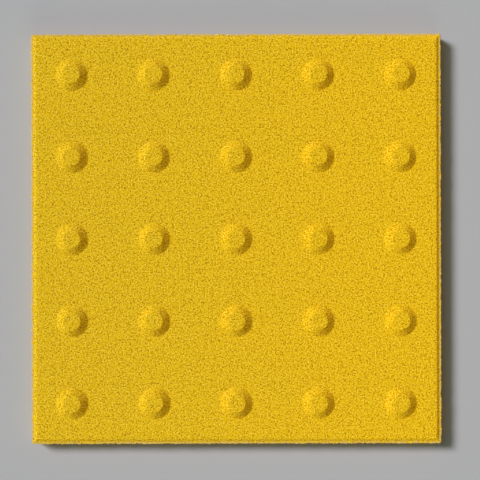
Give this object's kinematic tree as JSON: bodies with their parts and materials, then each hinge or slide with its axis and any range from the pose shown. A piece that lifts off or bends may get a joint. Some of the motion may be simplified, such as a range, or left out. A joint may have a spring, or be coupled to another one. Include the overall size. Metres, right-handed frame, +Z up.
{
  "type": "tactile paving slab",
  "caption": "Square yellow concrete paving slab with a grid of raised flat-topped domes that warn of a hazard underfoot, and a chamfered edge with a narrow land.",
  "frame": {"origin": "middle of the flat bedding face on the underside", "axes": "+Z up, out of the walking face; X and Y along the two rows of domes, square to the four edges"},
  "size_m": [0.3, 0.3, 0.021],
  "materials": {
    "yellow_concrete": "matt, fine sandy, coloured right through"
  },
  "bodies": {
    "root": {"tactile_slab": "yellow_concrete"}
  },
  "joints": []
}
